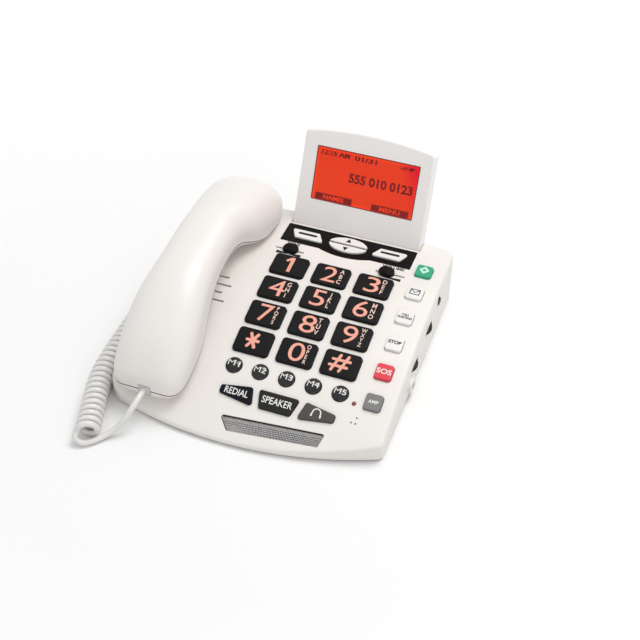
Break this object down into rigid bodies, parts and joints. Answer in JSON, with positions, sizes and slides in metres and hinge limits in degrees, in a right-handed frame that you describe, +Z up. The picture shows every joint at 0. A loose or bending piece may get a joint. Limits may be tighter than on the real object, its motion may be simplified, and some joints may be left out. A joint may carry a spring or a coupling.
{
  "type": "medical alert base station",
  "caption": "Corded emergency desk phone base: big-button keypad with a red emergency key, tilting lit display, handset in its cradle and curly cord.",
  "frame": {"origin": "on the desk, under the middle of the outer box (cord left out)", "axes": "+X to the right of the user, +Y to the rear, +Z up"},
  "size_m": [0.1957, 0.2325, 0.0969],
  "materials": {
    "case": "warm white, fine satin",
    "case_lower": "warm white, satin",
    "handset_case": "warm white, soft gloss",
    "display_case": "light grey-white, satin gloss",
    "panel_black": "black, glossy",
    "key_black": "near black, satin",
    "key_white": "white, satin",
    "key_grey": "grey, satin",
    "key_dark_grey": "dark grey, satin",
    "key_green": "green, satin",
    "key_red": "red, satin",
    "grille_metal": "silver, perforated",
    "lcd": "lit orange-red",
    "lens": "clear, glossy",
    "led": "red, translucent",
    "rubber_mat": "silicone rubber",
    "foot_rubber": "black, matt",
    "board": "green laminate",
    "component": "black moulding",
    "capsule": "plain can",
    "cord": "warm white, satin",
    "plug": "clear modular plug"
  },
  "bodies": {
    "base": {"base_upper_shell": "case", "base_lower_shell": "case_lower", "softkey_panel": "panel_black", "speaker_grille": "grille_metal", "loudspeaker": "component", "main_board": "board", "key_mat": "rubber_mat", "status_led": "led", "rubber_feet": "foot_rubber", "control_pots": "component", "sockets": "component", "base_plug": "plug", "cord_coil": "cord", "cord_tail_front": "cord", "cord_tail_rear": "cord"},
    "display": {"display_back": "display_case", "display_frame": "display_case", "display_lens": "lens", "lcd_module": "lcd"},
    "handset": {"handset_back": "handset_case", "handset_face": "handset_case", "receiver": "capsule", "microphone": "capsule", "handset_plug": "plug"},
    "hook_plunger": {"hook_plunger": "key_white"},
    "tone_slider": {"tone_slider": "key_black"},
    "volume_slider": {"volume_slider": "key_black"},
    "ringer_volume_wheel": {"ringer_volume_wheel": "key_dark_grey"},
    "ringer_tone_wheel": {"ringer_tone_wheel": "key_dark_grey"},
    "side_switch": {"side_switch": "key_dark_grey"},
    "sos_key": {"sos_key": "key_red"},
    "stop_key": {"stop_key": "key_white"},
    "flash_key": {"flash_key": "key_green"},
    "key_1": {"key_1": "key_black"},
    "key_2": {"key_2": "key_black"},
    "key_3": {"key_3": "key_black"},
    "key_4": {"key_4": "key_black"},
    "key_5": {"key_5": "key_black"},
    "key_6": {"key_6": "key_black"},
    "key_7": {"key_7": "key_black"},
    "key_8": {"key_8": "key_black"},
    "key_9": {"key_9": "key_black"},
    "key_star": {"key_star": "key_black"},
    "key_0": {"key_0": "key_black"},
    "key_hash": {"key_hash": "key_black"},
    "memory_key_1": {"memory_key_1": "key_black"},
    "memory_key_2": {"memory_key_2": "key_black"},
    "memory_key_3": {"memory_key_3": "key_black"},
    "memory_key_4": {"memory_key_4": "key_black"},
    "memory_key_5": {"memory_key_5": "key_black"},
    "redial_key": {"redial_key": "key_black"},
    "speaker_key": {"speaker_key": "key_black"},
    "headset_key": {"headset_key": "key_dark_grey"},
    "message_key": {"message_key": "key_white"},
    "call_waiting_key": {"call_waiting_key": "key_white"},
    "amplify_key": {"amplify_key": "key_grey"},
    "softkey_left": {"softkey_left": "key_white"},
    "softkey_right": {"softkey_right": "key_white"},
    "scroll_up_key": {"scroll_up_key": "key_white"},
    "scroll_down_key": {"scroll_down_key": "key_white"}
  },
  "joints": [
    {"name": "display_tilt", "type": "hinge", "parent": "base", "child": "display", "pos_m": [0.0195, 0.06677, 0.02978], "axis": [1, 0, 0], "range_deg": [-30, 10]},
    {"name": "handset_lift", "type": "slide", "parent": "base", "child": "handset", "axis": [0, 0, 1], "range_m": [0, 0.08]},
    {"name": "hook_switch", "type": "slide", "parent": "base", "child": "hook_plunger", "axis": [0, 0, 1], "range_m": [0, 0.003]},
    {"name": "tone_slide", "type": "slide", "parent": "base", "child": "tone_slider", "axis": [1, 0, 0], "range_m": [-0.008, 0.007]},
    {"name": "volume_slide", "type": "slide", "parent": "base", "child": "volume_slider", "axis": [1, 0, 0], "range_m": [-0.005, 0.01]},
    {"name": "ringer_volume_turn", "type": "hinge", "parent": "base", "child": "ringer_volume_wheel", "pos_m": [0.0803, 0.01197, 0.0213], "axis": [0, 0, 1], "range_deg": [-140, 140]},
    {"name": "ringer_tone_turn", "type": "hinge", "parent": "base", "child": "ringer_tone_wheel", "pos_m": [0.0803, -0.01803, 0.0182], "axis": [0, 0, 1], "range_deg": [-140, 140]},
    {"name": "side_switch_slide", "type": "slide", "parent": "base", "child": "side_switch", "axis": [0, 0, 1], "range_m": [-0.0015, 0.0015]},
    {"name": "sos_key_press", "type": "slide", "parent": "base", "child": "sos_key", "axis": [0, 0.2519, -0.9677], "range_m": [0, 0.0012], "stiffness_N_per_m": 400, "springref_m": -0.0005, "deforming": ["key_mat"]},
    {"name": "stop_key_press", "type": "slide", "parent": "base", "child": "stop_key", "axis": [0, 0.1873, -0.9823], "range_m": [0, 0.0012], "stiffness_N_per_m": 400, "springref_m": -0.0005, "deforming": ["key_mat"]},
    {"name": "flash_key_press", "type": "slide", "parent": "base", "child": "flash_key", "axis": [0, -0.0103, -0.9999], "range_m": [0, 0.0012], "stiffness_N_per_m": 400, "springref_m": -0.0005, "deforming": ["key_mat"]},
    {"name": "key_1_press", "type": "slide", "parent": "base", "child": "key_1", "axis": [0, 0.0639, -0.998], "range_m": [0, 0.0012], "stiffness_N_per_m": 400, "springref_m": -0.0005, "deforming": ["key_mat"]},
    {"name": "key_2_press", "type": "slide", "parent": "base", "child": "key_2", "axis": [0, 0.0639, -0.998], "range_m": [0, 0.0012], "stiffness_N_per_m": 400, "springref_m": -0.0005, "deforming": ["key_mat"]},
    {"name": "key_3_press", "type": "slide", "parent": "base", "child": "key_3", "axis": [0, 0.0639, -0.998], "range_m": [0, 0.0012], "stiffness_N_per_m": 400, "springref_m": -0.0005, "deforming": ["key_mat"]},
    {"name": "key_4_press", "type": "slide", "parent": "base", "child": "key_4", "axis": [0, 0.1299, -0.9915], "range_m": [0, 0.0012], "stiffness_N_per_m": 400, "springref_m": -0.0005, "deforming": ["key_mat"]},
    {"name": "key_5_press", "type": "slide", "parent": "base", "child": "key_5", "axis": [0, 0.1299, -0.9915], "range_m": [0, 0.0012], "stiffness_N_per_m": 400, "springref_m": -0.0005, "deforming": ["key_mat"]},
    {"name": "key_6_press", "type": "slide", "parent": "base", "child": "key_6", "axis": [0, 0.1299, -0.9915], "range_m": [0, 0.0012], "stiffness_N_per_m": 400, "springref_m": -0.0005, "deforming": ["key_mat"]},
    {"name": "key_7_press", "type": "slide", "parent": "base", "child": "key_7", "axis": [0, 0.1952, -0.9808], "range_m": [0, 0.0012], "stiffness_N_per_m": 400, "springref_m": -0.0005, "deforming": ["key_mat"]},
    {"name": "key_8_press", "type": "slide", "parent": "base", "child": "key_8", "axis": [0, 0.1952, -0.9808], "range_m": [0, 0.0012], "stiffness_N_per_m": 400, "springref_m": -0.0005, "deforming": ["key_mat"]},
    {"name": "key_9_press", "type": "slide", "parent": "base", "child": "key_9", "axis": [0, 0.1952, -0.9808], "range_m": [0, 0.0012], "stiffness_N_per_m": 400, "springref_m": -0.0005, "deforming": ["key_mat"]},
    {"name": "key_star_press", "type": "slide", "parent": "base", "child": "key_star", "axis": [0, 0.2597, -0.9657], "range_m": [0, 0.0012], "stiffness_N_per_m": 400, "springref_m": -0.0005, "deforming": ["key_mat"]},
    {"name": "key_0_press", "type": "slide", "parent": "base", "child": "key_0", "axis": [0, 0.2597, -0.9657], "range_m": [0, 0.0012], "stiffness_N_per_m": 400, "springref_m": -0.0005, "deforming": ["key_mat"]},
    {"name": "key_hash_press", "type": "slide", "parent": "base", "child": "key_hash", "axis": [0, 0.2597, -0.9657], "range_m": [0, 0.0012], "stiffness_N_per_m": 400, "springref_m": -0.0005, "deforming": ["key_mat"]},
    {"name": "memory_key_1_press", "type": "slide", "parent": "base", "child": "memory_key_1", "axis": [0, 0.3145, -0.9493], "range_m": [0, 0.0012], "stiffness_N_per_m": 400, "springref_m": -0.0005, "deforming": ["key_mat"]},
    {"name": "memory_key_2_press", "type": "slide", "parent": "base", "child": "memory_key_2", "axis": [0, 0.3145, -0.9493], "range_m": [0, 0.0012], "stiffness_N_per_m": 400, "springref_m": -0.0005, "deforming": ["key_mat"]},
    {"name": "memory_key_3_press", "type": "slide", "parent": "base", "child": "memory_key_3", "axis": [0, 0.3145, -0.9493], "range_m": [0, 0.0012], "stiffness_N_per_m": 400, "springref_m": -0.0005, "deforming": ["key_mat"]},
    {"name": "memory_key_4_press", "type": "slide", "parent": "base", "child": "memory_key_4", "axis": [0, 0.3145, -0.9493], "range_m": [0, 0.0012], "stiffness_N_per_m": 400, "springref_m": -0.0005, "deforming": ["key_mat"]},
    {"name": "memory_key_5_press", "type": "slide", "parent": "base", "child": "memory_key_5", "axis": [0, 0.3145, -0.9493], "range_m": [0, 0.0012], "stiffness_N_per_m": 400, "springref_m": -0.0005, "deforming": ["key_mat"]},
    {"name": "redial_key_press", "type": "slide", "parent": "base", "child": "redial_key", "axis": [0, 0.3644, -0.9312], "range_m": [0, 0.0012], "stiffness_N_per_m": 400, "springref_m": -0.0005, "deforming": ["key_mat"]},
    {"name": "speaker_key_press", "type": "slide", "parent": "base", "child": "speaker_key", "axis": [0, 0.3644, -0.9312], "range_m": [0, 0.0012], "stiffness_N_per_m": 400, "springref_m": -0.0005, "deforming": ["key_mat"]},
    {"name": "headset_key_press", "type": "slide", "parent": "base", "child": "headset_key", "axis": [0, 0.3644, -0.9312], "range_m": [0, 0.0012], "stiffness_N_per_m": 400, "springref_m": -0.0005, "deforming": ["key_mat"]},
    {"name": "message_key_press", "type": "slide", "parent": "base", "child": "message_key", "axis": [0, 0.0559, -0.9984], "range_m": [0, 0.0012], "stiffness_N_per_m": 400, "springref_m": -0.0005, "deforming": ["key_mat"]},
    {"name": "call_waiting_key_press", "type": "slide", "parent": "base", "child": "call_waiting_key", "axis": [0, 0.1219, -0.9925], "range_m": [0, 0.0012], "stiffness_N_per_m": 400, "springref_m": -0.0005, "deforming": ["key_mat"]},
    {"name": "amplify_key_press", "type": "slide", "parent": "base", "child": "amplify_key", "axis": [0, 0.3154, -0.949], "range_m": [0, 0.0012], "stiffness_N_per_m": 400, "springref_m": -0.0005, "deforming": ["key_mat"]},
    {"name": "softkey_left_press", "type": "slide", "parent": "base", "child": "softkey_left", "axis": [0, -0.0375, -0.9993], "range_m": [0, 0.0012], "stiffness_N_per_m": 400, "springref_m": -0.0005, "deforming": ["key_mat"]},
    {"name": "softkey_right_press", "type": "slide", "parent": "base", "child": "softkey_right", "axis": [0, -0.0375, -0.9993], "range_m": [0, 0.0012], "stiffness_N_per_m": 400, "springref_m": -0.0005, "deforming": ["key_mat"]},
    {"name": "scroll_up_key_press", "type": "slide", "parent": "base", "child": "scroll_up_key", "axis": [0, -0.036, -0.9994], "range_m": [0, 0.0012], "stiffness_N_per_m": 400, "springref_m": -0.0005, "deforming": ["key_mat"]},
    {"name": "scroll_down_key_press", "type": "slide", "parent": "base", "child": "scroll_down_key", "axis": [0, -0.036, -0.9994], "range_m": [0, 0.0012], "stiffness_N_per_m": 400, "springref_m": -0.0005, "deforming": ["key_mat"]}
  ],
  "couplings": [
    {"joint": "hook_switch", "follows": "handset_lift", "ratio": 0.0375}
  ]
}
